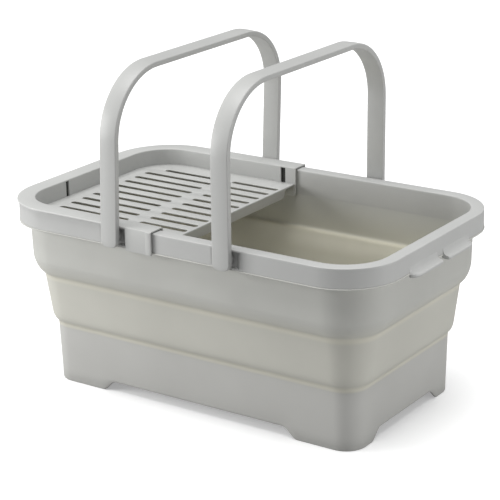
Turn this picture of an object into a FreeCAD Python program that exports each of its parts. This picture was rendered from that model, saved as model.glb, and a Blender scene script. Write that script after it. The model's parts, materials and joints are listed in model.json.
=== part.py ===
"""Collapsible storage crate with two swinging handles and a lift-out drain tray.

Millimetres. The origin is on the floor under the middle of the crate, X runs along its
length, Y across it and Z up. Every ring of the crate is the rim's rounded rectangle moved
inwards, so a place on a wall is given by its inset from the rim outline and its height.
"""
import FreeCAD, Part
import math
import os
import Sketcher

V = FreeCAD.Vector

DIMS = {
    # rim: an inverted channel around the mouth
    "rim_length": 470.0,
    "rim_width": 287.8,
    "rim_corner": 62.0,
    "rim_top": 210.6,
    "skirt_height": 21.0,
    "skirt_gauge": 2.2,
    "flange_width": 14.5,
    "inner_gauge": 1.6,
    "inner_foot": 182.0,
    "rim_edge_radius": 2.0,
    # pivot pockets in the skirt
    "pivot_spacing": 141.8,
    "pocket_mouth_half": 25.0,
    "pocket_floor_half": 12.0,
    "pocket_depth": 5.5,
    "pocket_gauge": 2.0,
    "pocket_lip": 1.4,
    # ledges that carry a folded handle
    "ledge_reach": 8.5,
    "ledge_half_span": 62.0,
    "ledge_gap_half": 6.0,
    "ledge_top": 188.6,
    "ledge_bottom": 185.0,
    "ledge_taper": 12.0,
    # soft wall
    "soft_gauge": 2.2,
    "bead_top": 204.0,
    "bead_inset": 11.4,
    "lip_gauge": 1.4,
    # base
    "base_top": 68.0,
    "floor_under": 12.5,
    "floor_gauge": 2.5,
    "notch_height": 11.9,
    "notch_half_length": 119.0,
    "notch_half_width": 61.0,
    "notch_slant": 7.0,
    # handles
    "handle_width": 20.25,
    "handle_gauge": 6.1,
    "handle_half_span": 153.9,
    "handle_rise": 176.0,
    "handle_bend": 71.4,
    "handle_foot": 9.9,
    "handle_foot_radius": 6.0,
    "handle_edge_radius": 1.2,
    "handle_left_lean": 2.5,
    "handle_right_lean": 0.6,
    "boss_radius": 7.0,
    "pin_radius": 3.5,
    "pin_play": 0.05,
    "side_play": 0.3,
    "pin_skin": 3.1,
    "cap_radius": 6.0,
    "cap_gauge": 1.7,
    "cap_cover": 1.0,
    # drain tray
    "tray_end": 20.5,
    "tray_gauge": 2.5,
    "tray_proud": 3.2,
    "tray_corner": 68.6,
    "tray_wall_inset": 16.2,
    "tray_wall_gauge": 2.0,
    "plate_under": 192.0,
    "plate_gauge": 2.0,
    "plate_end": 22.2,
    "lip_depth": 9.5,
    "lip_half_span": 98.0,
    "clip_start": 54.0,
    "clip_gauge": 2.8,
    "clip_foot": 187.2,
    "leg_start": 34.2,
    "leg_foot": 179.2,
    "wall_slot_width": 8.0,
    "end_slot_middle": 43.5,
    "slot_pitch": 19.4,
    "slot_radius": 3.1,
    "slot_outer_start": 199.0,
    "slot_outer_end": 104.5,
    "slot_inner_start": 88.0,
    "slot_inner_end": 25.8,
    "slot_corner_start": 184.0,
}

# The soft wall's creases, as (inset, height), from the rim down to the lip of each tier.
UPPER_OUTER = [(11.5, 188.2), (12.3, 149.0), (14.8, 139.5), (18.0, 133.0), (22.0, 128.5), (24.2, 127.0)]
UPPER_INNER = [(24.3, 129.8), (19.8, 134.8), (17.0, 140.5), (14.5, 149.6), (13.6, 181.8)]
MIDDLE_OUTER = [(24.6, 126.2), (24.6, 121.0), (25.8, 113.0), (27.8, 97.5), (30.7, 79.0), (33.0, 73.0), (35.6, 69.6)]
MIDDLE_INNER = [(35.9, 71.6), (34.2, 74.5), (32.9, 79.6), (30.0, 97.9), (28.0, 113.3), (26.8, 121.0), (26.8, 126.2)]
LOWER_OUTER = [(36.2, 68.0), (36.6, 55.0), (37.3, 34.0), (38.2, 0.0)]

# The scooped upper face of a ledge, as (distance out from the rim, height above the ledge).
SCOOP = [(0.0, 6.4), (0.9, 3.2), (2.6, 1.1), (4.8, 0.0)]
SCOOP_RISE = 7.0

# The rounded lower corners of the tray's end lip, as (distance out, height above its foot).
LIP_ROUND = [(0.0, 0.0), (5.0, 2.0), (9.0, 6.0)]
LIP_FLARE = 11.0

SLOT_ROWS = 9
CLEAR = 5.0


class Size:
    """A length together with the spreadsheet expression that gives it."""

    def __init__(self, value, text):
        self.value = value
        self.text = text

    def _join(self, other, sign, value):
        return Size(value, "(%s %s %s)" % (self.text, sign, other.text))

    def __add__(self, other):
        other = as_size(other)
        return self._join(other, "+", self.value + other.value)

    def __sub__(self, other):
        other = as_size(other)
        return self._join(other, "-", self.value - other.value)

    def __mul__(self, other):
        other = as_size(other)
        return self._join(other, "*", self.value * other.value)

    def __neg__(self):
        return self * -1


def as_size(number):
    if isinstance(number, Size):
        return number
    return Size(float(number), "(%g)" % number)


def cell(alias):
    return Size(DIMS[alias], "Dims.%s" % alias)


def half(alias):
    return cell(alias) * 0.5


def make_sheet(doc):
    sheet = doc.addObject("Spreadsheet::Sheet", "Dims")
    for row, (alias, value) in enumerate(DIMS.items(), start=1):
        sheet.set("A%d" % row, alias)
        sheet.set("B%d" % row, str(value))
        sheet.setAlias("B%d" % row, alias)
    doc.recompute()


def new_body(doc, label):
    body = doc.addObject("PartDesign::Body", label)
    body.Label = label
    return body


def new_sketch(body, role, name, lift=None):
    """A sketch on one of the body's own origin planes, lifted along that plane's normal."""
    plane = [item for item in body.Origin.OriginFeatures if item.Role == role][0]
    sketch = body.newObject("Sketcher::SketchObject", name)
    sketch.AttachmentSupport = [(plane, "")]
    sketch.MapMode = "FlatFace"
    if lift is not None:
        sketch.setExpression("AttachmentOffset.Base.z", lift.text)
    return sketch


def bind(sketch, constraint, size):
    index = sketch.addConstraint(constraint)
    sketch.setExpression("Constraints[%d]" % index, size.text)


def pin_point(sketch, piece, end, x, y):
    bind(sketch, Sketcher.Constraint("DistanceX", -1, 1, piece, end, x.value), x)
    bind(sketch, Sketcher.Constraint("DistanceY", -1, 1, piece, end, y.value), y)


def polygon(sketch, points):
    """A closed straight-sided outline whose corners are bound to the sheet."""
    points = [(as_size(x), as_size(y)) for x, y in points]
    first = sketch.GeometryCount
    count = len(points)
    for index in range(count):
        x0, y0 = points[index]
        x1, y1 = points[(index + 1) % count]
        sketch.addGeometry(Part.LineSegment(V(x0.value, y0.value, 0), V(x1.value, y1.value, 0)))
    for index in range(count):
        following = first + (index + 1) % count
        sketch.addConstraint(Sketcher.Constraint("Coincident", first + index, 2, following, 1))
        pin_point(sketch, first + index, 1, *points[index])


def rectangle(sketch, x0, x1, y0, y1):
    polygon(sketch, [(x0, y0), (x1, y0), (x1, y1), (x0, y1)])


def rounded_rectangle(sketch, half_x, half_y, corner):
    """A rounded rectangle about the origin that starts at the middle of its +X side."""
    a, b, r = half_x.value, half_y.value, corner.value
    arcs = []
    for sx, sy, start in ((1, 1, 0), (-1, 1, 90), (-1, -1, 180), (1, -1, 270)):
        circle = Part.Circle(V(sx * (a - r), sy * (b - r), 0), V(0, 0, 1), r)
        arc = sketch.addGeometry(Part.ArcOfCircle(circle, math.radians(start), math.radians(start + 90)))
        arcs.append((arc, sx, sy))
    sides = [((a, 0), (a, b - r)), ((a - r, b), (r - a, b)), ((-a, b - r), (-a, r - b))]
    sides += [((r - a, -b), (a - r, -b)), ((a, r - b), (a, 0))]
    lines = [sketch.addGeometry(Part.LineSegment(V(*p, 0), V(*q, 0))) for p, q in sides]
    chain = [lines[0]]
    for (arc, _, _), line in zip(arcs, lines[1:]):
        chain += [arc, line]
    for piece, following in zip(chain, chain[1:]):
        sketch.addConstraint(Sketcher.Constraint("Tangent", piece, 2, following, 1))
    sketch.addConstraint(Sketcher.Constraint("Coincident", lines[-1], 2, lines[0], 1))
    sketch.addConstraint(Sketcher.Constraint("PointOnObject", lines[0], 1, -1))
    for arc, sx, sy in arcs:
        pin_point(sketch, arc, 3, (half_x - corner) * sx, (half_y - corner) * sy)
        bind(sketch, Sketcher.Constraint("Radius", arc, r), corner)


def rim_offset(sketch, inset):
    """The rim outline moved inwards by an inset."""
    inset = as_size(inset)
    rounded_rectangle(sketch, half("rim_length") - inset, half("rim_width") - inset, cell("rim_corner") - inset)


def stadium(sketch, x0, x1, y, radius):
    """A round-ended slot along X."""
    r = radius.value
    left = Part.Circle(V(x0.value + r, y.value, 0), V(0, 0, 1), r)
    right = Part.Circle(V(x1.value - r, y.value, 0), V(0, 0, 1), r)
    quarter = math.radians(90)
    a = sketch.addGeometry(Part.ArcOfCircle(left, quarter, 3 * quarter))
    b = sketch.addGeometry(Part.ArcOfCircle(right, -quarter, quarter))
    low = sketch.addGeometry(Part.LineSegment(left.value(3 * quarter), right.value(-quarter)))
    top = sketch.addGeometry(Part.LineSegment(right.value(quarter), left.value(quarter)))
    for piece, following in ((a, low), (low, b), (b, top), (top, a)):
        sketch.addConstraint(Sketcher.Constraint("Tangent", piece, 2, following, 1))
    pin_point(sketch, a, 3, x0 + radius, y)
    pin_point(sketch, b, 3, x1 - radius, y)
    bind(sketch, Sketcher.Constraint("Radius", a, r), radius)


def circle(sketch, x, y, radius):
    round_piece = Part.Circle(V(x.value, y.value, 0), V(0, 0, 1), radius.value)
    piece = sketch.addGeometry(round_piece)
    pin_point(sketch, piece, 3, x, y)
    bind(sketch, Sketcher.Constraint("Radius", piece, radius.value), radius)


def pad(body, sketch, length, both_ways=False, reverse=False):
    feature = body.newObject("PartDesign::Pad", "Pad")
    feature.Profile = sketch
    feature.setExpression("Length", as_size(length).text)
    feature.Midplane = both_ways
    feature.Reversed = reverse
    body.Document.recompute()
    return feature


def pocket(body, sketch, length=None, both_ways=False, reverse=False):
    """A cut of a stated depth, or right through; it must take something away."""
    before = body.Shape.Volume
    feature = body.newObject("PartDesign::Pocket", "Pocket")
    feature.Profile = sketch
    feature.Midplane = both_ways
    feature.Reversed = reverse
    if length is None:
        feature.Type = "ThroughAll"
    else:
        feature.setExpression("Length", as_size(length).text)
    body.Document.recompute()
    if not body.Shape.Volume < before:
        raise RuntimeError("%s: %s cuts nothing" % (body.Label, sketch.Name))
    return feature


def fillet_where(body, radius, wanted):
    """Round the edges of the body's tip that the test picks out."""
    tip = body.Tip
    names = ["Edge%d" % (i + 1) for i, edge in enumerate(tip.Shape.Edges) if wanted(edge)]
    feature = body.newObject("PartDesign::Fillet", "Fillet")
    feature.Base = (tip, names)
    feature.setExpression("Radius", radius.text)
    body.Document.recompute()
    return feature


def ring(body, section):
    """Carry an (inset, height) section all round the rim outline."""
    path = new_sketch(body, "XY_Plane", "Path", cell("rim_top"))
    rim_offset(path, 0.0)
    outline = new_sketch(body, "XZ_Plane", "Section")
    polygon(outline, [(half("rim_length") - as_size(inset), height) for inset, height in section])
    sweep = body.newObject("PartDesign::AdditivePipe", "Sweep")
    sweep.Profile = outline
    sweep.Spine = path
    body.Document.recompute()


def pivot_height():
    return cell("rim_top") - half("skirt_height")


def skirt_foot():
    return cell("rim_top") - cell("skirt_height")


def pocket_plan(sketch, mouth_half, floor_half, mouth_y, floor_y):
    """Four trapezoids in plan, one round each leg of the two handles."""
    for sx in (-1, 1):
        middle = half("pivot_spacing") * sx
        for sy in (-1, 1):
            mouth = mouth_y * sy
            floor = floor_y * sy
            corners = [(middle - mouth_half, mouth), (middle + mouth_half, mouth)]
            corners += [(middle + floor_half, floor), (middle - floor_half, floor)]
            polygon(sketch, corners)


def rim_frame(doc):
    body = new_body(doc, "rim_frame")
    top = cell("rim_top")
    under = top - cell("skirt_gauge")
    width = cell("flange_width")
    inner = width - cell("inner_gauge")
    foot = skirt_foot()
    section = [(0.0, foot), (0.0, top), (width, top), (width, cell("inner_foot"))]
    section += [(inner, cell("inner_foot")), (inner, under), (cell("skirt_gauge"), under)]
    section += [(cell("skirt_gauge"), foot)]
    ring(body, section)

    # liners of the pivot pockets, then the pockets themselves
    side = half("rim_width")
    back = side - cell("pocket_depth") - cell("pocket_gauge")
    floor_half = cell("pocket_floor_half")
    mouth_half = cell("pocket_mouth_half")
    liner = new_sketch(body, "XY_Plane", "Liner", foot)
    pocket_plan(liner, mouth_half, floor_half + cell("pocket_gauge"), side - 1.0, back)
    pad(body, liner, cell("skirt_height") - half("skirt_gauge"))
    mouth = new_sketch(body, "XY_Plane", "PivotPocket", foot + cell("pocket_lip"))
    pocket_plan(mouth, mouth_half + 1.0, floor_half, side + 1.0, side - cell("pocket_depth"))
    depth = cell("skirt_height") - cell("skirt_gauge") - cell("pocket_lip")
    pocket(body, mouth, depth, reverse=True)

    # holes for the four pivot pins
    for sy, name in ((1, "FrontHoles"), (-1, "BackHoles")):
        holes = new_sketch(body, "XZ_Plane", name, side * sy)
        for sx in (-1, 1):
            circle(holes, half("pivot_spacing") * sx, pivot_height(), cell("pin_radius") + cell("pin_play"))
        reach = cell("pocket_depth") + cell("pocket_gauge") + 0.5
        pocket(body, holes, reach, reverse=(sy < 0))

    handle_ledges(body)

    edge_test = [half("rim_length").value, half("rim_width").value, top.value]

    def outer_top(edge):
        box = edge.BoundBox
        level = abs(box.ZMin - edge_test[2]) < 0.01 and abs(box.ZMax - edge_test[2]) < 0.01
        middle = edge.valueAt((edge.FirstParameter + edge.LastParameter) / 2)
        return level and inset_of(middle) < 0.1

    fillet_where(body, cell("rim_edge_radius"), outer_top)
    return body


def inset_of(point):
    """How far a point lies inside the rim outline, seen from above."""
    corner = DIMS["rim_corner"]
    dx = abs(point.x) - (DIMS["rim_length"] / 2 - corner)
    dy = abs(point.y) - (DIMS["rim_width"] / 2 - corner)
    if dx > 0 and dy > 0:
        return corner - math.hypot(dx, dy)
    return corner - max(dx, dy)


def handle_ledges(body):
    """Two ledges at each end, under a folded handle, with a scooped upper face."""
    end = half("rim_length")
    root = end - 0.15
    tip = end + cell("ledge_reach")
    span = cell("ledge_half_span")
    gap = cell("ledge_gap_half")
    taper = cell("ledge_taper")
    plan = new_sketch(body, "XY_Plane", "LedgePlan", cell("ledge_bottom"))
    for sx in (-1, 1):
        for sy in (-1, 1):
            corners = [(root, gap), (tip, gap), (tip, span - taper), (end + 1.5, span), (root, span)]
            polygon(plan, [(x * sx, y * sy) for x, y in corners])
    pad(body, plan, cell("ledge_top") - cell("ledge_bottom") + SCOOP_RISE)
    scoop = new_sketch(body, "XZ_Plane", "Scoop")
    shelf = cell("ledge_top")
    above = shelf + SCOOP_RISE + 1.0
    curve = [(end + out, shelf + height) for out, height in SCOOP]
    curve += [(tip + 1.0, shelf), (tip + 1.0, above), (end, above)]
    for sx in (-1, 1):
        polygon(scoop, [(x * sx, z) for x, z in curve])
    pocket(body, scoop, span * 2.0 + CLEAR, both_ways=True)


def upper_wall(doc):
    """The soft wall's upper tier, its bead in the rim channel and the lip under the skirt."""
    body = new_body(doc, "upper_wall")
    bead = cell("bead_inset")
    inner = cell("flange_width") - cell("inner_gauge")
    foot = skirt_foot()
    section = [(bead, cell("bead_top")), (bead, foot), (0.4, foot), (0.4, foot - cell("lip_gauge"))]
    section += UPPER_OUTER + UPPER_INNER
    section += [(inner, cell("inner_foot")), (inner, cell("bead_top"))]
    ring(body, section)
    return body


def middle_wall(doc):
    body = new_body(doc, "middle_wall")
    ring(body, MIDDLE_OUTER + MIDDLE_INNER)
    return body


def base_tub(doc):
    body = new_body(doc, "base_tub")
    gauge = cell("soft_gauge")
    inner = [(as_size(inset) + gauge, height) for inset, height in reversed(LOWER_OUTER)]
    ring(body, LOWER_OUTER + inner)
    floor = new_sketch(body, "XY_Plane", "Floor", cell("floor_under"))
    rim_offset(floor, LOWER_OUTER[-1][0] + 1.0)
    pad(body, floor, cell("floor_gauge"))
    slant = cell("notch_slant")
    for role, alias in (("XZ_Plane", "notch_half_length"), ("YZ_Plane", "notch_half_width")):
        notch = new_sketch(body, role, "Notch")
        low = cell(alias) + slant
        high = cell(alias) - slant
        top = cell("notch_height")
        polygon(notch, [(-low, 0.0), (-low, -1.0), (low, -1.0), (low, 0.0), (high, top), (-high, top)])
        pocket(body, notch, half("rim_length") * 3.0, both_ways=True)
    return body


def handle(doc, label):
    """A flat strip bent to a U, with a boss inside each leg, about its pivot axis."""
    body = new_body(doc, label)
    span = cell("handle_half_span")
    gauge = cell("handle_gauge")
    strap = new_sketch(body, "YZ_Plane", "Strap")
    strap_outline(strap, span, cell("handle_rise"), cell("handle_bend"), gauge, cell("handle_foot"))
    pad(body, strap, cell("handle_width"), both_ways=True)

    foot = -DIMS["handle_foot"]
    side = DIMS["handle_width"] / 2

    def foot_corner(edge):
        box = edge.BoundBox
        at_foot = abs(box.ZMin - foot) < 0.01 and abs(box.ZMax - foot) < 0.01
        return at_foot and box.YLength > 1.0 and abs(abs(box.XMin) - side) < 0.01 and box.XLength < 0.01

    fillet_where(body, cell("handle_foot_radius"), foot_corner)

    def long_edge(edge):
        box = edge.BoundBox
        return box.XLength < 0.01 and abs(abs(box.XMin) - side) < 0.01 and box.ZLength > 8.0

    fillet_where(body, cell("handle_edge_radius"), long_edge)

    inner = span - gauge
    pocket_floor = half("rim_width") - cell("pocket_depth")
    boss_end = pocket_floor + cell("side_play")
    bottom = inner - cell("pin_skin") + gauge
    for sy, name in ((1, "Front"), (-1, "Back")):
        boss = new_sketch(body, "XZ_Plane", name + "Boss", boss_end * sy)
        circle(boss, as_size(0.0), as_size(0.0), cell("boss_radius"))
        pad(body, boss, inner - boss_end + 0.5, reverse=(sy < 0))
        bore = new_sketch(body, "XZ_Plane", name + "Bore", boss_end * sy)
        circle(bore, as_size(0.0), as_size(0.0), cell("pin_radius"))
        pocket(body, bore, bottom - boss_end, reverse=(sy > 0))
    return body


def strap_outline(sketch, span, rise, bend, gauge, foot):
    """The U of a handle, seen along X: two legs, two bends and the grip between them."""
    inner_bend = bend - gauge
    flat = span - bend
    spring = rise - bend
    quarter = math.radians(90)
    zero = V(0, 0, 1)
    left = V(-flat.value, spring.value, 0)
    right = V(flat.value, spring.value, 0)
    outer_left = Part.Circle(left, zero, bend.value)
    outer_right = Part.Circle(right, zero, bend.value)
    inner_left = Part.Circle(left, zero, inner_bend.value)
    inner_right = Part.Circle(right, zero, inner_bend.value)
    out = span.value
    inn = out - gauge.value
    low = -foot.value
    pieces = [
        Part.LineSegment(V(out, low, 0), outer_right.value(0)),
        Part.ArcOfCircle(outer_right, 0, quarter),
        Part.LineSegment(outer_right.value(quarter), outer_left.value(quarter)),
        Part.ArcOfCircle(outer_left, quarter, 2 * quarter),
        Part.LineSegment(outer_left.value(2 * quarter), V(-out, low, 0)),
        Part.LineSegment(V(-out, low, 0), V(-inn, low, 0)),
        Part.LineSegment(V(-inn, low, 0), inner_left.value(2 * quarter)),
        Part.ArcOfCircle(inner_left, quarter, 2 * quarter),
        Part.LineSegment(inner_left.value(quarter), inner_right.value(quarter)),
        Part.ArcOfCircle(inner_right, 0, quarter),
        Part.LineSegment(inner_right.value(0), V(inn, low, 0)),
        Part.LineSegment(V(inn, low, 0), V(out, low, 0)),
    ]
    g = [sketch.addGeometry(piece) for piece in pieces]
    start, end, centre = 1, 2, 3
    tangents = [(g[0], end, g[1], start), (g[1], end, g[2], start), (g[2], end, g[3], start)]
    tangents += [(g[3], end, g[4], start), (g[6], end, g[7], end), (g[7], start, g[8], start)]
    tangents += [(g[8], end, g[9], end), (g[9], start, g[10], start)]
    corners = [(g[4], end, g[5], start), (g[5], end, g[6], start)]
    corners += [(g[10], end, g[11], start), (g[11], end, g[0], start)]
    for joint in tangents:
        sketch.addConstraint(Sketcher.Constraint("Tangent", *joint))
    for joint in corners:
        sketch.addConstraint(Sketcher.Constraint("Coincident", *joint))
    for arc, side, radius in ((1, 1, bend), (3, -1, bend), (7, -1, inner_bend), (9, 1, inner_bend)):
        pin_point(sketch, g[arc], centre, flat * side, spring)
        bind(sketch, Sketcher.Constraint("Radius", g[arc], radius.value), radius)
    for line in (g[0], g[11]):
        bind(sketch, Sketcher.Constraint("DistanceY", -1, 1, line, start, low), -foot)
    for line, end_point in ((g[4], end), (g[6], start)):
        bind(sketch, Sketcher.Constraint("DistanceY", -1, 1, line, end_point, low), -foot)


def revolved(doc, label, side, profile):
    """A round piece on the pivot axis; the profile is (radius, distance from the middle)."""
    body = new_body(doc, label)
    outline = new_sketch(body, "YZ_Plane", "Profile")
    polygon(outline, [(distance * side, radius) for radius, distance in profile])
    turn = body.newObject("PartDesign::Revolution", "Turn")
    turn.Profile = outline
    turn.ReferenceAxis = (outline, ["H_Axis"])
    turn.Angle = 360.0
    doc.recompute()
    return body


def pivot_pin(doc, label, side):
    cap_end = half("rim_width") - cell("pocket_depth") - cell("pocket_gauge") - cell("side_play")
    start = cap_end - cell("cap_gauge")
    end = cell("handle_half_span") - cell("pin_skin")
    radius = cell("pin_radius")
    profile = [(as_size(0), start), (radius - 0.4, start), (radius, start + 0.4), (radius, end)]
    return revolved(doc, label, side, profile + [(as_size(0), end)])


def pin_cap(doc, label, side):
    """A push-on cap that keeps the pin in its pocket floor, inside the rim channel."""
    face = half("rim_width") - cell("pocket_depth") - cell("pocket_gauge") - cell("side_play")
    seat = face - cell("cap_gauge")
    back = seat - cell("cap_cover")
    radius = cell("pin_radius")
    outer = cell("cap_radius")
    profile = [(as_size(0), back), (outer - 1.2, back), (outer, back + 1.2), (outer, face)]
    profile += [(radius, face), (radius, seat), (as_size(0), seat)]
    return revolved(doc, label, side, profile)


def drain_tray(doc):
    """A tray over the left half of the mouth, hooked on the rim."""
    body = new_body(doc, "drain_tray")
    top = cell("rim_top")
    proud = cell("tray_proud")
    inset = cell("tray_wall_inset")
    inner = inset + cell("tray_wall_gauge")
    under = cell("plate_under")

    flange = new_sketch(body, "XY_Plane", "Flange", top)
    rounded_rectangle(flange, half("rim_length") + proud, half("rim_width") + proud, cell("tray_corner"))
    rim_offset(flange, inner)
    pad(body, flange, cell("tray_gauge"))
    wall = new_sketch(body, "XY_Plane", "Wall", under)
    rim_offset(wall, inset)
    rim_offset(wall, inner)
    pad(body, wall, top - under + 1.0)
    plate = new_sketch(body, "XY_Plane", "Plate", under)
    rim_offset(plate, inset + 1.0)
    pad(body, plate, cell("plate_gauge"))

    # everything beyond the tray's open end goes
    trim = new_sketch(body, "XY_Plane", "Trim")
    far = half("rim_length") + CLEAR
    across = half("rim_width") + CLEAR
    rectangle(trim, -cell("tray_end"), far, -across, across)
    pocket(body, trim, reverse=True)

    tray_plate_end(body, under, inner)
    tray_clips(body, top)
    tray_slots(body, under)
    return body


def tray_plate_end(body, under, inner):
    """Set the plate back a little and turn its edge down in a stiffening lip."""
    step = new_sketch(body, "XY_Plane", "PlateStep", under - 1.0)
    side = half("rim_width") - inner
    rectangle(step, -cell("plate_end"), -cell("tray_end") + 1.0, -side, side)
    pocket(body, step, cell("plate_gauge") + 2.0, reverse=True)
    lip = new_sketch(body, "YZ_Plane", "Lip", -cell("plate_end"))
    span = cell("lip_half_span")
    foot = under - cell("lip_depth")
    high = under + 0.5
    corners = [(span + out, foot + height) for out, height in LIP_ROUND]
    corners += [(span + LIP_FLARE, high), (-span - LIP_FLARE, high)]
    corners += [(-span - out, foot + height) for out, height in reversed(LIP_ROUND)]
    polygon(lip, corners)
    pad(body, lip, cell("plate_gauge"), reverse=True)


def tray_clips(body, top):
    """A clip over the skirt and a leg inside the mouth, at the front and at the back."""
    out = half("rim_width") + cell("tray_proud")
    clip = new_sketch(body, "XY_Plane", "Clip", cell("clip_foot"))
    leg = new_sketch(body, "XY_Plane", "Leg", cell("leg_foot"))
    wall = half("rim_width") - cell("tray_wall_inset")
    for sy in (-1, 1):
        rectangle(clip, -cell("clip_start"), -cell("tray_end"), (out - cell("clip_gauge")) * sy, out * sy)
        rectangle(leg, -cell("leg_start"), -cell("tray_end"), (wall - cell("tray_wall_gauge")) * sy, wall * sy)
    pad(body, clip, top - cell("clip_foot") + 1.0)
    pad(body, leg, cell("plate_under") - cell("leg_foot") + 1.0)


def tray_slots(body, under):
    """Rows of drain slots in two columns, and slots beside the spring tongues of the wall."""
    level = under - 1.0
    through = cell("plate_gauge") + 2.0
    pitch = cell("slot_pitch")
    radius = cell("slot_radius")
    last_row = (SLOT_ROWS + 1) / 2
    first_row = -(SLOT_ROWS - 1) / 2
    middle = new_sketch(body, "XY_Plane", "SlotRow", level)
    stadium(middle, -cell("slot_outer_start"), -cell("slot_outer_end"), pitch * first_row, radius)
    stadium(middle, -cell("slot_inner_start"), -cell("slot_inner_end"), pitch * first_row, radius)
    cut = pocket(body, middle, through, reverse=True)
    rows = body.newObject("PartDesign::LinearPattern", "SlotRows")
    rows.Originals = [cut]
    rows.Direction = (middle, ["V_Axis"])
    rows.setExpression("Length", (pitch * (SLOT_ROWS - 1)).text)
    rows.Occurrences = SLOT_ROWS
    body.Tip = rows
    body.Document.recompute()
    ends = new_sketch(body, "XY_Plane", "SlotEnds", level)
    for row in (-last_row, last_row):
        stadium(ends, -cell("slot_corner_start"), -cell("slot_outer_end"), pitch * row, radius)
        stadium(ends, -cell("slot_inner_start"), -cell("slot_inner_end"), pitch * row, radius)
    pocket(body, ends, through, reverse=True)

    height = cell("rim_top") - under - cell("plate_gauge")
    sides = new_sketch(body, "XY_Plane", "WallSlots", under + cell("plate_gauge"))
    width = cell("wall_slot_width")
    start = -cell("leg_start")
    near = half("rim_width") - cell("tray_wall_inset") - cell("tray_wall_gauge") - 1.0
    far = half("rim_width") - cell("tray_wall_inset") + 1.0
    end_near = near - half("rim_width") + half("rim_length")
    end_far = far - half("rim_width") + half("rim_length")
    for sy in (-1, 1):
        rectangle(sides, start - width, start, near * sy, far * sy)
        slot = cell("end_slot_middle") * sy
        rectangle(sides, -end_far, -end_near, slot - half("wall_slot_width"), slot + half("wall_slot_width"))
    pocket(body, sides, height, reverse=True)


def place_handle(bodies, side, lean):
    """Stand a handle's pieces on their pivot axis, leaning as the handle rests."""
    pivot = V(side * DIMS["pivot_spacing"] / 2, 0, pivot_height().value)
    turn = FreeCAD.Rotation(V(0, 1, 0), DIMS[lean])
    for body in bodies:
        body.Placement = FreeCAD.Placement(pivot, turn)


def build_handle(doc, name, side):
    bodies = [handle(doc, "handle_%s" % name)]
    for sy, end in ((-1, "front"), (1, "back")):
        bodies.append(pivot_pin(doc, "pivot_pin_%s_%s" % (name, end), sy))
        bodies.append(pin_cap(doc, "pin_cap_%s_%s" % (name, end), sy))
    place_handle(bodies, side, "handle_%s_lean" % name)
    return bodies


def check_document(doc, bodies):
    for item in doc.Objects:
        if "Invalid" in item.State or "Error" in item.State:
            raise RuntimeError("%s (%s) did not compute: %s" % (item.Label, item.Name, item.State))
    for body in bodies:
        shape = body.Shape
        if shape.isNull() or not shape.isValid() or len(shape.Solids) != 1:
            raise RuntimeError("%s has a bad shape" % body.Label)


def main():
    doc = FreeCAD.newDocument("StorageCrate")
    make_sheet(doc)
    bodies = [rim_frame(doc), upper_wall(doc), middle_wall(doc), base_tub(doc), drain_tray(doc)]
    bodies += build_handle(doc, "left", -1)
    bodies += build_handle(doc, "right", 1)
    doc.recompute()
    check_document(doc, bodies)
    os.makedirs("parts", exist_ok=True)
    for body in bodies:
        body.Shape.exportStep("parts/%s.step" % body.Label)
        box = body.Shape.BoundBox
        extent = "x %.1f..%.1f y %.1f..%.1f z %.1f..%.1f" % (
            box.XMin, box.XMax, box.YMin, box.YMax, box.ZMin, box.ZMax)
        print("%-24s %9.0f mm3  %s" % (body.Label, body.Shape.Volume, extent))


main()
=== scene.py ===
"""Looks of the collapsible storage crate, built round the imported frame.

Shapes are worked out in millimetres and scaled once, when a mesh is made. Every ring of the
crate is the rim's rounded rectangle moved inwards, so a place on a wall is an inset from the
rim outline and a height.
"""
import json
import math

import bmesh
import bpy
from mathutils import Matrix, Vector


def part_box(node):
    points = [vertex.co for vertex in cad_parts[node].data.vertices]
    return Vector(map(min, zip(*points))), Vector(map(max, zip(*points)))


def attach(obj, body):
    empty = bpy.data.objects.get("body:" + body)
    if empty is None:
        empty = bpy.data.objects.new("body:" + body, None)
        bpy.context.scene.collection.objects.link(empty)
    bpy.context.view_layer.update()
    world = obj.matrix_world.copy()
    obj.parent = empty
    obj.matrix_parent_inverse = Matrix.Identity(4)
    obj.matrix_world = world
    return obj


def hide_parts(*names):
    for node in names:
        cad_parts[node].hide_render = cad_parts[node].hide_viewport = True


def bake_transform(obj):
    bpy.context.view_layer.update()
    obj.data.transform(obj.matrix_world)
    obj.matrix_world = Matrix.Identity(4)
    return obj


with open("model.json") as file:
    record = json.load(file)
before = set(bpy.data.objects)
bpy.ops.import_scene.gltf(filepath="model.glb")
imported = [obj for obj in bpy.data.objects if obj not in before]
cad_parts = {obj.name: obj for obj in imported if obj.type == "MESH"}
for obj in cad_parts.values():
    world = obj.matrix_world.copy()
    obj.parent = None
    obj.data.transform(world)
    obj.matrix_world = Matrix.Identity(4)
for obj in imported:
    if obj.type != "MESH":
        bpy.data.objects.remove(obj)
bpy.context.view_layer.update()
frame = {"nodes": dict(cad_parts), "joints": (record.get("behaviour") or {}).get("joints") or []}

MM = 0.001


def box_mm(node):
    low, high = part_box(node)
    return Vector(low) / MM, Vector(high) / MM


# --- sizes: what the frame gives, then the named details --------------------------------------
_, RIM = box_mm("rim_frame")
TRAY_LOW, TRAY_HIGH = box_mm("drain_tray")
_, HANDLE = box_mm("handle_left")
PIVOTS = {j["child"]: Vector(j["pos_m"]) / MM for j in frame["joints"] if j["type"] == "hinge"}

LEDGE_REACH = 8.5
HALF_X = RIM.x - LEDGE_REACH
HALF_Y = RIM.y
RIM_TOP = RIM.z
CORNER = 62.0
CENTRE_X = HALF_X - CORNER
CENTRE_Y = HALF_Y - CORNER

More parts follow.
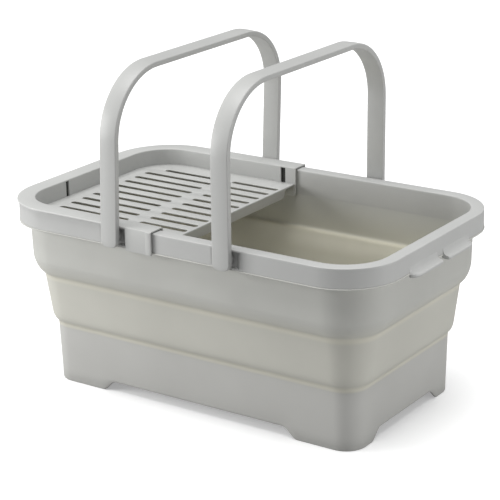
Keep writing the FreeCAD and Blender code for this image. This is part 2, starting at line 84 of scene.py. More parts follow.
SKIRT_FOOT = RIM_TOP - 21.0
SKIRT_GAUGE = 2.2
FLANGE_WIDTH = 14.5
INNER_GAUGE = 1.6
INNER_FOOT = 182.0
POCKET_DEPTH = 5.5
POCKET_FLOOR_HALF = 10.5
POCKET_MOUTH_HALF = 19.0
POCKET_FADE = 1.5
WALL_TOP = 200.0
WALL_LEDGE = 11.4

HANDLE_WIDTH = 20.9
HANDLE_GAUGE = 6.1
HANDLE_BEND = 71.4
HANDLE_RISE = 176.0
HANDLE_FOOT = 9.9
FOOT_RADIUS = 6.2
HANDLE_CROWN = 0.35
LEANS = {"handle_left": math.radians(2.5), "handle_right": math.radians(0.6)}
BOSS_RADIUS = 7.0

TRAY_END = -TRAY_HIGH.x
TRAY_PROUD = TRAY_HIGH.y - HALF_Y
TRAY_CORNER = 68.6
TRAY_WALL = 16.2
TRAY_INNER = 18.2
PLATE_TOP = 194.0
PLATE_UNDER = 192.0
PLATE_END = 22.2
PLATE_GAUGE = 1.1
FLANGE_GAUGE = 1.4
CLIP_START = 54.0
CLIP_FOOT = 187.2
LEG_START = 34.2
END_SLOT = 43.5
END_SLOT_WIDTH = 5.0
SLOT_WIDTH = 6.4
SLOT_PITCH = 19.4
SLOT_RADIUS = 3.5
SLOT_ROWS = 5
LONG_SLOTS = (-199.4, -104.2)
SHORT_SLOTS = (-88.2, -25.8)
CORNER_SLOT_START = -184.0
LIP_SPAN = 104.0
RIB_START = -27.6
# thickness of the dark sheets of painted shade behind the wall's slots
SHADE_SHEET_GAUGE = 1.0

STRAIGHT = 0.999  # a normal this near an axis belongs to a straight side, not to a corner


# --- mesh helpers -----------------------------------------------------------------------------
def rounded(points, steps=4):
    """A closed outline with its corners rounded; each point is (a, b, radius)."""
    result = []
    count = len(points)
    for index, (a, b, radius) in enumerate(points):
        corner = Vector((a, b))
        before = Vector(points[index - 1][:2]) - corner
        after = Vector(points[(index + 1) % count][:2]) - corner
        if radius <= 0 or before.length < 1e-9 or after.length < 1e-9:
            result.append((a, b))
            continue
        turn = before.angle(after)
        if turn > math.radians(178):
            result.append((a, b))
            continue
        reach = min(radius / math.tan(turn / 2), before.length * 0.49, after.length * 0.49)
        radius = reach * math.tan(turn / 2)
        bisector = (before.normalized() + after.normalized()).normalized()
        centre = corner + bisector * radius / math.sin(turn / 2)
        first = corner + before.normalized() * reach - centre
        last = corner + after.normalized() * reach - centre
        sweep = first.angle(last)
        for step in range(steps + 1):
            u = step / steps
            spoke = (first * math.sin((1 - u) * sweep) + last * math.sin(u * sweep)) / math.sin(sweep)
            result.append(tuple(centre + spoke))
    return result


def smooth_line(points, steps):
    """An open line through the points with its bends softened (Catmull-Rom)."""
    result = []
    last = len(points) - 1
    for index in range(last):
        p0 = Vector(points[max(index - 1, 0)])
        p1 = Vector(points[index])
        p2 = Vector(points[index + 1])
        p3 = Vector(points[min(index + 2, last)])
        for step in range(steps):
            t = step / steps
            bend = (p0 * -1 + p1 * 3 - p2 * 3 + p3) * t * t * t
            bend += (p0 * 2 - p1 * 5 + p2 * 4 - p3) * t * t
            result.append(tuple(p1 + (bend + (p2 - p0) * t) / 2))
    result.append(tuple(points[last]))
    return result


def ease(value):
    value = min(max(value, 0.0), 1.0)
    return value * value * (3 - 2 * value)


def spread(low, high, count):
    return [low + (high - low) * step / count for step in range(count + 1)]


def outline(x_marks, y_marks, corner_steps=20):
    """Stations round the rim outline, anticlockwise from the front of the +X end.

    A station is (centre, normal): a point at an inset lies on centre + normal * (CORNER - inset).
    """
    sides = [[(CENTRE_X, y) for y in y_marks], [(x, CENTRE_Y) for x in reversed(x_marks)]]
    sides += [[(-CENTRE_X, y) for y in reversed(y_marks)], [(x, -CENTRE_Y) for x in x_marks]]
    stations = []
    for quarter, centres in enumerate(sides):
        start = quarter * 90
        normal = Vector((math.cos(math.radians(start)), math.sin(math.radians(start))))
        stations += [(Vector(centre), normal) for centre in centres]
        for step in range(1, corner_steps):
            angle = math.radians(start + 90 * step / corner_steps)
            stations.append((Vector(centres[-1]), Vector((math.cos(angle), math.sin(angle)))))
    return stations


def at(station, inset, height):
    centre, normal = station
    flat = centre + normal * (CORNER - inset)
    return Vector((flat.x, flat.y, height))


def on_long_side(station):
    return abs(station[1].y) > STRAIGHT


def on_end(station):
    return abs(station[1].x) > STRAIGHT


def skin(rings, around=True, closed=True, caps=False):
    """Quads between rings of points; returns (points, faces)."""
    size = len(rings[0])
    points = [point for one_ring in rings for point in one_ring]
    faces = []
    for i in range(len(rings) if around else len(rings) - 1):
        following = (i + 1) % len(rings)
        for j in range(size if closed else size - 1):
            k = (j + 1) % size
            faces.append((i * size + j, following * size + j, following * size + k, i * size + k))
    if caps:
        faces.append(tuple(range(size)))
        faces.append(tuple((len(rings) - 1) * size + j for j in reversed(range(size))))
    return points, faces


def join(*parts):
    points, faces = [], []
    for more_points, more_faces in parts:
        start = len(points)
        points += more_points
        faces += [tuple(start + index for index in face) for face in more_faces]
    return points, faces


def plate(outer, holes, low, high, edge):
    """A flat plate with holes between two heights, its edges rounded; returns (points, faces)."""
    curve = bpy.data.curves.new("plate", "CURVE")
    curve.dimensions = "2D"
    curve.fill_mode = "BOTH"
    curve.extrude = (high - low) / 2 - edge
    curve.bevel_depth = edge
    curve.bevel_resolution = 1
    curve.offset = -edge
    for loop in [outer, *holes]:
        spline = curve.splines.new("POLY")
        spline.points.add(len(loop) - 1)
        for point, (x, y) in zip(spline.points, loop):
            point.co = (x, y, 0, 1)
        spline.use_cyclic_u = True
    holder = bpy.data.objects.new("plate", curve)
    bpy.context.collection.objects.link(holder)
    bpy.context.view_layer.update()
    depsgraph = bpy.context.evaluated_depsgraph_get()
    mesh = bpy.data.meshes.new_from_object(holder.evaluated_get(depsgraph))
    middle = (low + high) / 2
    points = [Vector((v.co.x, v.co.y, v.co.z + middle)) for v in mesh.vertices]
    faces = [tuple(face.vertices) for face in mesh.polygons]
    bpy.data.objects.remove(holder)
    bpy.data.curves.remove(curve)
    bpy.data.meshes.remove(mesh)
    return points, faces


def turned(part, matrix):
    points, faces = part
    return [matrix @ point for point in points], faces


def make(name, coats, body, sharp=40.0, weld=0.01):
    """One mesh object in metres from parts in millimetres, each with its material."""
    points, faces = join(*(part for part, _ in coats))
    mesh = bpy.data.meshes.new(name)
    mesh.from_pydata([tuple(point * MM) for point in points], [], faces)
    first = 0
    for index, (part, material) in enumerate(coats):
        mesh.materials.append(material)
        for face in mesh.polygons[first:first + len(part[1])]:
            face.material_index = index
        first += len(part[1])
    work = bmesh.new()
    work.from_mesh(mesh)
    bmesh.ops.remove_doubles(work, verts=work.verts, dist=weld * MM)
    bmesh.ops.recalc_face_normals(work, faces=work.faces)
    for face in work.faces:
        face.smooth = True
    for edge in work.edges:
        edge.smooth = len(edge.link_faces) == 2 and edge.calc_face_angle(0.0) < math.radians(sharp)
    work.to_mesh(mesh)
    work.free()
    piece = bpy.data.objects.new(name, mesh)
    bpy.context.collection.objects.link(piece)
    if body:
        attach(piece, body)
    return piece


# --- materials --------------------------------------------------------------------------------
GRAIN = 0.10
MOTTLE = 0.03


def plastic(name, colours, roughness):
    """Moulded plastic: a colour at each height, slight mottling and a fine texture.

    The colours are (height, colour) from low to high, or one colour for all heights.
    """
    material = bpy.data.materials.new(name)
    material.use_nodes = True
    nodes, links = material.node_tree.nodes, material.node_tree.links
    shader = nodes["Principled BSDF"]
    place = nodes.new("ShaderNodeTexCoord")

    def noise(scale, detail):
        node = nodes.new("ShaderNodeTexNoise")
        node.inputs["Scale"].default_value = scale
        node.inputs["Detail"].default_value = detail
        links.new(place.outputs["Object"], node.inputs["Vector"])
        return node.outputs["Fac"]

    stops = colours if isinstance(colours, list) else [(0.0, colours), (100.0, colours)]
    low, high = stops[0][0], stops[-1][0]
    split = nodes.new("ShaderNodeSeparateXYZ")
    links.new(place.outputs["Object"], split.inputs["Vector"])
    reach = nodes.new("ShaderNodeMapRange")
    reach.inputs["From Min"].default_value = low * MM
    reach.inputs["From Max"].default_value = high * MM
    links.new(split.outputs["Z"], reach.inputs["Value"])
    ramp = nodes.new("ShaderNodeValToRGB")
    links.new(reach.outputs["Result"], ramp.inputs["Fac"])
    elements = ramp.color_ramp.elements
    elements[0].color = (*stops[0][1], 1)
    elements[1].color = (*stops[-1][1], 1)
    for height, colour in stops[1:-1]:
        elements.new((height - low) / (high - low)).color = (*colour, 1)

    shade = nodes.new("ShaderNodeMapRange")
    shade.inputs["From Min"].default_value = 0.35
    shade.inputs["From Max"].default_value = 0.65
    shade.inputs["To Min"].default_value = 1 - MOTTLE
    shade.inputs["To Max"].default_value = 1 + MOTTLE
    links.new(noise(9.0, 4.0), shade.inputs["Value"])
    tone = nodes.new("ShaderNodeVectorMath")
    tone.operation = "SCALE"
    links.new(ramp.outputs["Color"], tone.inputs[0])
    links.new(shade.outputs["Result"], tone.inputs["Scale"])
    links.new(tone.outputs["Vector"], shader.inputs["Base Color"])

    gloss = nodes.new("ShaderNodeMapRange")
    gloss.inputs["To Min"].default_value = roughness - 0.06
    gloss.inputs["To Max"].default_value = roughness + 0.06
    links.new(noise(35.0, 6.0), gloss.inputs["Value"])
    links.new(gloss.outputs["Result"], shader.inputs["Roughness"])

    bump = nodes.new("ShaderNodeBump")
    bump.inputs["Strength"].default_value = GRAIN
    bump.inputs["Distance"].default_value = 0.0002
    links.new(noise(1400.0, 3.0), bump.inputs["Height"])
    links.new(bump.outputs["Normal"], shader.inputs["Normal"])
    shader.inputs["Specular IOR Level"].default_value = 0.4
    return material


WALL_GREY = (0.492, 0.492, 0.462)
FOLD_CREAM = (0.542, 0.535, 0.482)
# painted highlight: a lighter cream put on the wall along each fold crease
CREASE_HIGHLIGHT = (0.60, 0.585, 0.507)
INNER_GREY = (0.465, 0.467, 0.445)
# the inside's cream: its own warm tone, painted lighter than the outsides of the same mouldings to stand in
# for light inside the tub
INNER_CREAM_LIGHTENED = (0.60, 0.585, 0.505)
# The outer wall's colours by height: grey below the lower fold, a painted highlight band at each fold crease,
# the middle tier's cream and the upper tier's grey.
WALL_COLOURS_WITH_CREASE_HIGHLIGHTS = [
    (64.0, (0.49, 0.485, 0.455)),
    # painted highlight along the lower fold's crease
    (67.5, CREASE_HIGHLIGHT),
    (70.0, CREASE_HIGHLIGHT),
    (73.5, FOLD_CREAM),
    (121.0, FOLD_CREAM),
    # painted highlight along the upper fold's crease, fading back to grey by 144
    (124.5, CREASE_HIGHLIGHT),
    (128.0, CREASE_HIGHLIGHT),
    (131.5, (0.525, 0.52, 0.472)),
    (144.0, WALL_GREY),
    (190.0, WALL_GREY),
]
# The inside's colours by height: the lightened cream low down, a painted highlight band at the inner fold and
# the rim's grey above.
INNER_COLOURS_WITH_PAINTED_LIGHT = [
    (10.0, INNER_CREAM_LIGHTENED),
    (110.0, INNER_CREAM_LIGHTENED),
    # painted highlight: a yellowish band along the inner fold ridge, from 140 to 145.5
    (140.0, (0.57, 0.55, 0.46)),
    (143.0, (0.55, 0.525, 0.42)),
    (145.5, (0.50, 0.49, 0.42)),
    (182.0, INNER_GREY),
]
RIM_PLASTIC = plastic("rim_plastic", (0.450, 0.452, 0.442), 0.42)
TRAY_PLASTIC = plastic("tray_plastic", (0.46, 0.463, 0.45), 0.40)
HANDLE_PLASTIC = plastic("handle_plastic", (0.455, 0.457, 0.445), 0.36)
BASE_PLASTIC = plastic("base_plastic", (0.495, 0.492, 0.469), 0.45)
# the outer wall's material carries the painted crease highlights
SOFT_WALL = plastic("soft_wall", WALL_COLOURS_WITH_CREASE_HIGHLIGHTS, 0.50)
# the inside of the wall and the base: partly the cream's own tone, partly painted light
INNER_WALL_PAINTED_LIGHT = plastic("inner_wall_painted_light", INNER_COLOURS_WITH_PAINTED_LIGHT, 0.50)
PIN_PLASTIC = plastic("pin_plastic", (0.35, 0.35, 0.34), 0.35)
# near black, for the sheets of painted shade behind the tray's wall slots
SLOT_SHADE_BLACK = plastic("slot_painted_shade", (0.035, 0.035, 0.033), 0.80)


# --- the rim ----------------------------------------------------------------------------------
def pocket_share(x):
    """How deep the skirt is drawn in at x: 1 behind a handle leg, 0 beyond the pocket's mouth."""
    nearest = min(abs(x - pivot.x) for pivot in PIVOTS.values())
    share = (POCKET_MOUTH_HALF - nearest) / (POCKET_MOUTH_HALF - POCKET_FLOOR_HALF)
    return min(max(share, 0.0), 1.0) ** POCKET_FADE


def long_side_marks():
    """Places along the long sides: even steps, with close ones over each pocket's ramps."""
    marks = set(spread(-CENTRE_X, CENTRE_X, 24))
    for pivot in PIVOTS.values():
        for sign in (-1, 1):
            ramp = spread(POCKET_FLOOR_HALF - 1, POCKET_MOUTH_HALF + 1, 14)
            marks.update(pivot.x + sign * step for step in ramp)
    return sorted(marks)


def rim_shell():
    """The rim as one closed channel, its skirt drawn in at the four pockets."""
    inner = FLANGE_WIDTH - INNER_GAUGE
    under = RIM_TOP - SKIRT_GAUGE
    pocket_low = SKIRT_FOOT + 1.4
    rows = [pocket_low - 0.3, pocket_low + 0.1, pocket_low + 0.7, pocket_low + 3.0]
    rows += [under - 3.0, under - 0.7, under - 0.1, under + 0.3]
    section = [(0.0, SKIRT_FOOT, 0.5)] + [(0.0, z, 0) for z in rows]
    section += [(0.0, RIM_TOP, 2.2), (FLANGE_WIDTH, RIM_TOP, 1.6), (FLANGE_WIDTH, INNER_FOOT, 0.1)]
    section += [(inner, INNER_FOOT, 0.1), (inner, under, 0.8), (SKIRT_GAUGE, under, 0.8)]
    section += [(SKIRT_GAUGE, SKIRT_FOOT, 0.4)]
    points = rounded(section)
    rings = []
    for station in outline(long_side_marks(), spread(-CENTRE_Y, CENTRE_Y, 16)):
        place = at(station, 0, 0)
        depth = 0.0
        if on_long_side(station):
            depth = POCKET_DEPTH * pocket_share(place.x)
        one_ring = []
        for inset, z in points:
            recessed = inset < 0.01 and pocket_low < z < under
            behind = SKIRT_GAUGE - 0.5 < inset < SKIRT_GAUGE + 1.0
            one_ring.append(at(station, inset + (depth if recessed or behind else 0.0), z))
        rings.append(one_ring)
    return skin(rings)


LEDGE_SPAN = 62.0
LEDGE_GAP = 6.0
LEDGE_TOP = 188.6
LEDGE_BOTTOM = 185.0
LEDGE_TAPER = 14.0
LEDGE_ROUND = 2.5
LEDGE_STEPS = 32


def quarter_round(share):
    """The height of a quarter circle at a share of its way in, from 0 to 1."""
    return math.sqrt(max(1 - (1 - min(share, 1.0)) ** 2, 0.0))


def ledge(end, side):
    """One of the two ledges at an end: a scoop below the skirt that flares to a lip."""
    section = [(-0.6, LEDGE_TOP + 8.0), (0.05, LEDGE_TOP + 7.4), (0.5, LEDGE_TOP + 4.4)]
    section += [(1.7, LEDGE_TOP + 1.9), (3.6, LEDGE_TOP + 0.5), (6.4, LEDGE_TOP), (7.6, LEDGE_TOP - 0.1)]
    section += [(8.3, LEDGE_TOP - 0.7), (8.5, LEDGE_TOP - 1.6), (8.4, LEDGE_BOTTOM + 0.7)]
    section += [(7.7, LEDGE_BOTTOM), (3.0, LEDGE_BOTTOM + 0.1), (-0.2, LEDGE_BOTTOM + 0.3)]
    section += [(-0.6, LEDGE_BOTTOM + 1.2)]
    rings = []
    for along in spread(LEDGE_GAP, LEDGE_SPAN, LEDGE_STEPS):
        reach = quarter_round((LEDGE_SPAN - along) / LEDGE_TAPER)
        reach *= 0.8 + 0.2 * quarter_round((along - LEDGE_GAP) / LEDGE_ROUND)
        ring = []
        for out, z in section:
            out = out * (0.12 + 0.88 * reach) if out > 0 else out
            ring.append(Vector((end * (HALF_X + out), side * along, z)))
        rings.append(ring)
    return skin(rings, around=False, caps=True)


# --- the soft wall ----------------------------------------------------------------------------
WALL_LINE = [
    (11.4, 184.0), (11.6, 178.0), (12.0, 164.0), (12.4, 150.0), (13.0, 145.0), (14.4, 140.2),
    (16.2, 136.0), (18.6, 132.2), (21.4, 129.4), (23.2, 127.0), (24.2, 123.6), (25.0, 118.0),
    (26.3, 108.5), (27.8, 97.5), (29.1, 87.5), (30.0, 81.0), (31.0, 76.6), (32.6, 73.2),
    (34.6, 70.8), (35.9, 68.4), (36.2, 65.0),
]

INNER_LINE = [
    (38.4, 65.0), (38.1, 68.6), (37.0, 71.8), (35.2, 74.6), (33.6, 78.2), (32.4, 82.4), (31.3, 88.6),
    (30.0, 98.0), (28.5, 108.8), (27.2, 118.4), (26.3, 124.4), (25.0, 129.4), (23.2, 134.2),
    (21.4, 138.6), (20.3, 141.4), (18.8, 143.1), (16.6, 144.1), (15.3, 145.6), (14.8, 149.0),
    (14.4, 157.0), (14.2, 168.0),
]


def soft_wall():
    """Both upper tiers and their folds as one moulding: its outside, with the lip, and its inside."""
    outer = smooth_line(WALL_LINE, 3)
    bead = FLANGE_WIDTH - INNER_GAUGE
    top = [(bead, WALL_TOP), (WALL_LEDGE, WALL_TOP), (WALL_LEDGE, SKIRT_FOOT + 0.4), (2.6, SKIRT_FOOT + 0.4)]
    top += [(2.4, SKIRT_FOOT), (-0.2, SKIRT_FOOT), (-0.6, SKIRT_FOOT - 0.3), (-0.7, SKIRT_FOOT - 0.8)]
    top += [(-0.5, SKIRT_FOOT - 1.3), (0.2, SKIRT_FOOT - 1.5), (8.6, SKIRT_FOOT - 1.6)]
    top += [(10.4, SKIRT_FOOT - 2.0), (11.2, SKIRT_FOOT - 3.2)]
    back = smooth_line(INNER_LINE, 2)
    back += [(FLANGE_WIDTH - 0.35, INNER_FOOT - 6.0), (FLANGE_WIDTH - 0.05, INNER_FOOT)]
    back += [(bead, INNER_FOOT)]
    stations = outline(spread(-CENTRE_X, CENTRE_X, 40), spread(-CENTRE_Y, CENTRE_Y, 20), 24)
    coats = []
    for section in (top + outer, [outer[-1]] + back + [top[0]]):
        rings = [[at(station, inset, z) for inset, z in section] for station in stations]
        coats.append(skin(rings, closed=False))
    return coats


# --- the base ---------------------------------------------------------------------------------
NOTCH_TOP = 11.9
NOTCH_HALF_X = 119.0
NOTCH_HALF_Y = 61.0
NOTCH_SLANT = 9.0
FLOOR_UNDER = 12.5
FLOOR_TOP = 15.0
FOOT_INSET = 38.2
BASE_EDGE = (38.4, 66.9)


def foot_height(station):
    """The height of the base's lower edge: 0 under a foot, the notch's top between two feet."""
    centre = station[0]
    if on_long_side(station):
        inward = NOTCH_HALF_X - abs(centre.x)
    elif on_end(station):
        inward = NOTCH_HALF_Y - abs(centre.y)
    else:
        return 0.0
    return NOTCH_TOP * ease(0.5 + inward / (2 * NOTCH_SLANT))


def notch_marks(half, centre):
    """Places along a side of the base: even steps, with close ones over each notch's slants."""
    marks = set(spread(-centre, centre, 20))
    for sign in (-1, 1):
        marks.update(sign * half + step for step in spread(-NOTCH_SLANT, NOTCH_SLANT, 14))
    return sorted(mark for mark in marks if abs(mark) <= centre)


def base_shell():
    """The lower wall, the feet and the floor as one stiff moulding: its outside and its inside."""
    outer = [(36.7, 66.2), (36.4, 65.6), (36.35, 64.0), (36.6, 55.0), (37.3, 34.0), (37.9, 15.0)]
    wall = [(39.0, 66.6), (38.9, 55.0), (39.4, 34.0), (39.7, 24.0), (40.2, 20.6), (42.2, 17.2)]
    wall += [(45.2, 15.5), (49.0, FLOOR_TOP)]
    stations = outline(notch_marks(NOTCH_HALF_X, CENTRE_X), notch_marks(NOTCH_HALF_Y, CENTRE_Y), 20)
    outside, inside = [], []
    for station in stations:
        foot = foot_height(station)
        skirt = [(FOOT_INSET, foot + 1.0), (FOOT_INSET + 0.4, foot + 0.25), (FOOT_INSET + 0.9, foot)]
        skirt += [(40.0, foot), (40.4, foot + 0.5), (40.4, FLOOR_UNDER)]
        outside.append([at(station, inset, z) for inset, z in [BASE_EDGE] + outer + skirt])
        inside.append([at(station, inset, z) for inset, z in reversed([BASE_EDGE] + wall)])
    return floored(outside, -1), floored(inside, 0)


def floored(rings, place):
    """An open skin whose one edge, at a place in its rings, is closed by a flat floor."""
    points, faces = skin(rings, closed=False)
    size = len(rings[0])
    faces.append(tuple(index * size + place % size for index in range(len(rings))))
    return points, faces


# --- the handles ------------------------------------------------------------------------------
def handle_path():
    """The strip's middle line in Y and Z about the pivot axis, with the outward direction."""
    span = HANDLE.y
    flat = span - HANDLE_BEND
    spring = HANDLE_RISE - HANDLE_BEND
    middle = HANDLE_GAUGE / 2
    path = []
    foot = -HANDLE_FOOT
    for step in range(13):
        drop = FOOT_RADIUS * (1 - math.cos(math.radians(90 * step / 12)))
        path.append((-(span - middle), foot + drop, -1.0, 0.0))
    path += [(-(span - middle), z, -1.0, 0.0) for z in spread(foot + 12.0, spring, 8)]
    for step in range(1, 25):
        angle = math.radians(180 - 90 * step / 24)
        reach = HANDLE_BEND - middle
        y = -flat + reach * math.cos(angle)
        path.append((y, spring + reach * math.sin(angle), math.cos(angle), math.sin(angle)))
    path += [(y, HANDLE_RISE - middle, 0.0, 1.0) for y in spread(-flat, 0.0, 5)[1:]]
    mirrored = [(-y, z, -out_y, out_z) for y, z, out_y, out_z in reversed(path[:-1])]
    return path + mirrored


def foot_width(z):
    """Half the strip's width at a height: the foot's corners are rounded."""
    half = HANDLE_WIDTH / 2
    drop = FOOT_RADIUS - (z + HANDLE_FOOT)
    if drop < 0:
        return half
    return half - FOOT_RADIUS + math.sqrt(max(FOOT_RADIUS ** 2 - drop ** 2, 0.0))


def strap():
    """The bent strip, slightly crowned on its outer face."""
    rings = []
    outside = HANDLE_GAUGE / 2
    for y, z, out_y, out_z in handle_path():
        half = foot_width(z)
        section = [(-half, outside, 1.3), (0.0, outside + HANDLE_CROWN, 0), (half, outside, 1.3)]
        section += [(half, -outside, 1.0), (-half, -outside, 1.0)]
        ring = []
        for x, out in rounded(section):
            ring.append(Vector((x, y + out_y * out, z + out_z * out)))
        rings.append(ring)
    return skin(rings, around=False, caps=True)


def boss(side):
    """The round hub inside a leg that turns in its pocket."""
    inner = HANDLE.y - HANDLE_GAUGE
    floor = HALF_Y - POCKET_DEPTH + 0.3
    profile = [(0.5, floor), (BOSS_RADIUS - 0.6, floor), (BOSS_RADIUS, floor + 0.6)]
    profile += [(BOSS_RADIUS, inner - 1.2), (BOSS_RADIUS + 1.4, inner + 0.4), (0.5, inner + 0.4)]
    rings = []
    for step in range(32):
        angle = math.radians(360 * step / 32)
        ring = [Vector((r * math.cos(angle), side * y, r * math.sin(angle))) for r, y in profile]
        rings.append(ring)
    return skin(rings)


def build_handle(body):
    stand = Matrix.Translation(PIVOTS[body]) @ Matrix.Rotation(LEANS[body], 4, "Y")
    shape = turned(join(strap(), boss(-1), boss(1)), stand)
    piece = make(body + "_strap", [(shape, HANDLE_PLASTIC)], body)
    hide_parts(body)


# --- the drain tray ---------------------------------------------------------------------------
def flange_inset(station):
    """The inset of the flange's outer edge, whose corners have a wider radius than the rim's."""
    if on_end(station) or on_long_side(station):
        return -TRAY_PROUD
    normal = station[1]
    shift = Vector((TRAY_CORNER - TRAY_PROUD - CORNER,) * 2)
    facing = Vector((abs(normal.x), abs(normal.y)))
    along = shift.dot(facing)
    reach = -along + math.sqrt(TRAY_CORNER ** 2 - shift.length_squared + along ** 2)
    return CORNER - reach


def tray_stations():
    """Stations from the tray's open end at the back, round the left end, to the front."""
    x_marks = [-CLIP_START, -LEG_START - SLOT_WIDTH, -LEG_START, -TRAY_END]
    x_marks += spread(-CENTRE_X, -CLIP_START, 12)
    y_marks = spread(-CENTRE_Y, CENTRE_Y, 8)
    y_marks += [side * END_SLOT + reach * END_SLOT_WIDTH / 2 for side in (-1, 1) for reach in (-1, 1)]
    stations = outline(sorted(set(x_marks)), sorted(set(y_marks)), 18)
    ends = [
        index for index, station in enumerate(stations)
        if on_long_side(station) and abs(station[0].x + TRAY_END) < 0.01
    ]
    return stations[ends[0]:ends[-1] + 1]


def in_wall_slot(one, other):
    """Whether the stretch between two stations lies in one of the wall's slots."""
    middle = (at(one, 0, 0) + at(other, 0, 0)) / 2
    if on_long_side(one):
        return -LEG_START - SLOT_WIDTH < middle.x < -LEG_START
    return on_end(one) and abs(abs(middle.y) - END_SLOT) < END_SLOT_WIDTH / 2


def in_clip(one, other):
    """Whether the stretch between two stations has a clip over the skirt."""
    return on_long_side(one) and (one[0].x + other[0].x) / 2 > -CLIP_START


def tray_rail():
    """The flange, its clips and the wall below it, in stretches between the wall's slots."""
    top = TRAY_HIGH.z
    hollow = top - FLANGE_GAUGE
    stations = tray_stations()
    stretches = []
    for one, other in zip(stations, stations[1:]):
        kind = (in_wall_slot(one, other), in_clip(one, other))
        if stretches and stretches[-1][0] == kind:
            stretches[-1][1].append(other)
        else:
            stretches.append((kind, [one, other]))
    parts = []
    for (slotted, clipped), members in stretches:
        outer_foot = CLIP_FOOT if clipped else RIM_TOP + 0.5
        inner_foot = hollow - 0.2 if slotted else PLATE_UNDER
        rings = []
        for station in members:
            out = flange_inset(station)
            section = [(out, outer_foot, 0.5), (out, top, 1.0), (TRAY_INNER, top, 1.2)]
            section += [(TRAY_INNER, inner_foot, 0), (TRAY_WALL, inner_foot, 0), (TRAY_WALL, hollow, 0.3)]
            section += [(out + FLANGE_GAUGE, hollow, 0.3), (out + FLANGE_GAUGE, outer_foot, 0.4)]
            rings.append([at(station, inset, z) for inset, z in rounded(section)])
        parts.append(skin(rings, around=False, caps=True))
    return join(*parts)


def facing_x(part):
    """Stands a flat part up across X: its X becomes Y, its Y becomes Z and its height becomes X."""
    points, faces = part
    return [Vector((p.z, p.x, p.y)) for p in points], faces


def facing_y(part, side):
    """Stands a flat part up across Y, on one side: its Y becomes Z and its height goes out."""
    points, faces = part
    return [Vector((p.x, side * p.z, p.y)) for p in points], faces


def slot_shade_sheets():
    """Dark sheets behind the wall's slots: painted shade, standing in for the deep shadow seen through each
    slot.
    """
    inner = TRAY_WALL - 0.25
    low, high = PLATE_UNDER + 0.4, RIM_TOP + 0.9
    half = SLOT_WIDTH / 2 + 0.6

    # one dark sheet of painted shade behind a slot
    def stop(centre, near):
        corners = [(centre - half, low, 0.4), (centre + half, low, 0.4)]
        corners += [(centre + half, high, 0.4), (centre - half, high, 0.4)]
        return plate(rounded(corners), [], near, near + SHADE_SHEET_GAUGE, 0.2)

    parts = []
    for side in (-1, 1):
        parts.append(facing_y(stop(-LEG_START - SLOT_WIDTH / 2, HALF_Y - inner), side))
        parts.append(facing_x(stop(side * END_SLOT, inner - HALF_X - SHADE_SHEET_GAUGE)))
    return join(*parts)


def slot_loop(start, end, y):
    """A round-ended slot along X."""
    loop = []
    for centre, first in ((start + SLOT_RADIUS, 90), (end - SLOT_RADIUS, -90)):
        for step in range(9):
            angle = math.radians(first + 180 * step / 8)
            loop.append((centre + SLOT_RADIUS * math.cos(angle), y + SLOT_RADIUS * math.sin(angle)))
    return loop


def tray_plate():
    """The slotted plate: two columns of slots, with short ones beside the round corners."""
    inset = TRAY_WALL + 1.0
    corner = [s for s in outline([-CENTRE_X, CENTRE_X], [-CENTRE_Y, CENTRE_Y], 14) if s[0].x < 0]
    side = HALF_Y - inset
    end = -PLATE_END - 0.9
    edge = [(end, side)] + [tuple(at(s, inset, 0).xy) for s in corner] + [(end, -side)]
    holes = []
    for row in range(-SLOT_ROWS, SLOT_ROWS + 1):
        start, stop = LONG_SLOTS
        if abs(row) == SLOT_ROWS:
            start = CORNER_SLOT_START
        holes.append(slot_loop(start, stop, row * SLOT_PITCH))
        holes.append(slot_loop(*SHORT_SLOTS, row * SLOT_PITCH))
    return plate(edge, holes, PLATE_TOP - PLATE_GAUGE, PLATE_TOP, 0.25)


def tray_lip():
    """The turned-down end of the plate, with a ledge beside it at each end."""
    foot = TRAY_LOW.z + 3.3
    top = PLATE_TOP + 0.15
    side = HALF_Y - TRAY_WALL - 1.0
    half = [(LIP_SPAN, foot, 9.0), (LIP_SPAN + 3.0, top - 2.2, 2.0), (side, top - 2.0, 0.3), (side, top, 0.3)]
    corners = [(-y, z, radius) for y, z, radius in reversed(half)] + half
    return facing_x(plate(rounded(corners, 6), [], -PLATE_END - 2.0, -PLATE_END, 0.5))


def tray_hooks(side):
    """The rib on the end of a clip, and the leg inside the mouth."""
    end = -TRAY_END - 0.15
    rib_foot = CLIP_FOOT - 0.3
    rib_top = TRAY_HIGH.z - 1.0
    rib = [(RIB_START, rib_foot, 1.5), (end, rib_foot, 2.0), (end, rib_top, 0.6), (RIB_START, rib_top, 0.6)]
    leg_top = PLATE_TOP + 3
    leg = [(-LEG_START, TRAY_LOW.z, 4.0), (end, TRAY_LOW.z, 4.0)]
    leg += [(end, leg_top, 0.2), (-LEG_START, leg_top, 0.2)]
    out = HALF_Y + TRAY_PROUD
    wall = HALF_Y - TRAY_WALL
    parts = []
    for shape, near, far in ((rib, out - 1.2, out + 0.45), (leg, wall - 1.95, wall - 0.05)):
        parts.append(facing_y(plate(rounded(shape), [], near, far, 0.45), side))
    return join(*parts)


def build_tray():
    shape = join(tray_rail(), tray_plate(), tray_lip(), tray_hooks(-1), tray_hooks(1))
    # the second coat is the painted shade behind the wall's slots
    coats = [(shape, TRAY_PLASTIC), (slot_shade_sheets(), SLOT_SHADE_BLACK)]
    piece = make("drain_tray_moulding", coats, "tray", weld=0.002)
    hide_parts("drain_tray")


